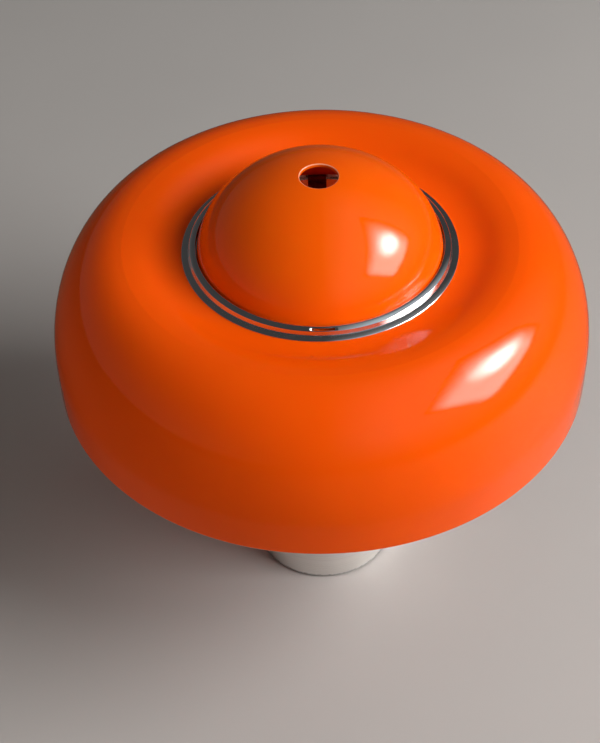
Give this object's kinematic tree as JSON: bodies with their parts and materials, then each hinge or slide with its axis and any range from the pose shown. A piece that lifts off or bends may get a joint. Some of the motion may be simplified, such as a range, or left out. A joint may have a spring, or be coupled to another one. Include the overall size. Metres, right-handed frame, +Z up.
{
  "type": "mushroom table lamp",
  "caption": "Mushroom table lamp: wide glossy orange acrylic shade, chrome ring, vented dome, satin aluminium column and screw-cap bulbs inside.",
  "frame": {"origin": "middle of the foot ring's underside, on the surface that the lamp stands on", "axes": "+Z up along the lamp's axis; -Y towards the front, where the trim ring has its notch; +Y towards the cord bush at the back"},
  "size_m": [0.4599, 0.46, 0.4289],
  "materials": {
    "orange_acrylic": "glossy, smooth cast acrylic, faintly translucent",
    "dome_acrylic": "glossy, smooth cast acrylic, faintly translucent",
    "trim_chrome": "polished, fine turning lines",
    "stem_chrome": "polished tube",
    "satin_aluminium": "satin, fine lathe brushing round the cylinder",
    "black_rubber": "matte",
    "zinc_steel": "bright zinc plated",
    "iron": "rough, dark",
    "black_plastic": "moulded, slightly worn gloss",
    "white_plastic": "moulded",
    "brass_fittings": "bright brass",
    "insert_ceramic": "unglazed",
    "lead_sheath": "flexible sheath",
    "white_paint": "stove enamel, semi gloss",
    "black_paint": "stove enamel, semi gloss",
    "bulb_metal": "nickel plated",
    "opal_glass": "opal, silky"
  },
  "bodies": {
    "base": {"ballast_weight": "iron", "base_lead": "lead_sheath", "base_shell": "satin_aluminium", "bottom_plate": "zinc_steel", "centre_contact_1": "brass_fittings", "centre_contact_2": "brass_fittings", "centre_contact_3": "brass_fittings", "cluster_body": "white_paint", "cluster_lid": "white_paint", "contact_insert_1": "insert_ceramic", "contact_insert_2": "insert_ceramic", "contact_insert_3": "insert_ceramic", "cord_bush": "black_plastic", "cord_clamp": "white_plastic", "foot_ring": "black_rubber", "holder_leads": "lead_sheath", "inner_screws": "zinc_steel", "lampholder_1": "black_plastic", "lampholder_2": "black_plastic", "lampholder_3": "black_plastic", "lower_nut": "zinc_steel", "lower_washer": "zinc_steel", "nipple_nuts": "zinc_steel", "nipples": "zinc_steel", "riser_lead": "lead_sheath", "screw_sleeve_1": "brass_fittings", "screw_sleeve_2": "brass_fittings", "screw_sleeve_3": "brass_fittings", "spider": "black_paint", "spider_nut": "zinc_steel", "spider_washer": "zinc_steel", "stem_sleeve": "stem_chrome", "terminal_block": "white_plastic", "terminal_screws": "brass_fittings", "tie_rod": "zinc_steel"},
    "shade": {"outer_shade": "orange_acrylic", "trim_ring": "trim_chrome", "retaining_ring": "zinc_steel", "ring_screws": "zinc_steel"},
    "dome": {"dome": "dome_acrylic"},
    "bulb_1_end": {"bulb_tip_1": "bulb_metal"},
    "bulb_1": {"bulb_cap_1": "bulb_metal", "bulb_glass_1": "opal_glass"},
    "bulb_2_end": {"bulb_tip_2": "bulb_metal"},
    "bulb_2": {"bulb_cap_2": "bulb_metal", "bulb_glass_2": "opal_glass"},
    "bulb_3_end": {"bulb_tip_3": "bulb_metal"},
    "bulb_3": {"bulb_cap_3": "bulb_metal", "bulb_glass_3": "opal_glass"}
  },
  "joints": [
    {"name": "shade_lift", "type": "slide", "parent": "base", "child": "shade", "axis": [0, 0, 1], "range_m": [0, 0.15]},
    {"name": "dome_lift", "type": "slide", "parent": "shade", "child": "dome", "axis": [0, 0, 1], "range_m": [0, 0.08]},
    {"name": "bulb_1_travel", "type": "slide", "parent": "base", "child": "bulb_1_end", "axis": [0, -0.9659, 0.2588], "range_m": [0, 0.0182]},
    {"name": "bulb_1_turn", "type": "hinge", "parent": "bulb_1_end", "child": "bulb_1", "pos_m": [0, 0, 0.268], "axis": [0, -0.9659, 0.2588], "range_deg": [0, 1800]},
    {"name": "bulb_2_travel", "type": "slide", "parent": "base", "child": "bulb_2_end", "axis": [0.8365, 0.483, 0.2588], "range_m": [0, 0.0182]},
    {"name": "bulb_2_turn", "type": "hinge", "parent": "bulb_2_end", "child": "bulb_2", "pos_m": [0, 0, 0.268], "axis": [0.8365, 0.483, 0.2588], "range_deg": [0, 1800]},
    {"name": "bulb_3_travel", "type": "slide", "parent": "base", "child": "bulb_3_end", "axis": [-0.8365, 0.483, 0.2588], "range_m": [0, 0.0182]},
    {"name": "bulb_3_turn", "type": "hinge", "parent": "bulb_3_end", "child": "bulb_3", "pos_m": [0, 0, 0.268], "axis": [-0.8365, 0.483, 0.2588], "range_deg": [0, 1800]}
  ],
  "couplings": [
    {"joint": "bulb_1_travel", "follows": "bulb_1_turn", "m_per_rad": 0.00057757},
    {"joint": "bulb_2_travel", "follows": "bulb_2_turn", "m_per_rad": 0.00057757},
    {"joint": "bulb_3_travel", "follows": "bulb_3_turn", "m_per_rad": 0.00057757}
  ]
}
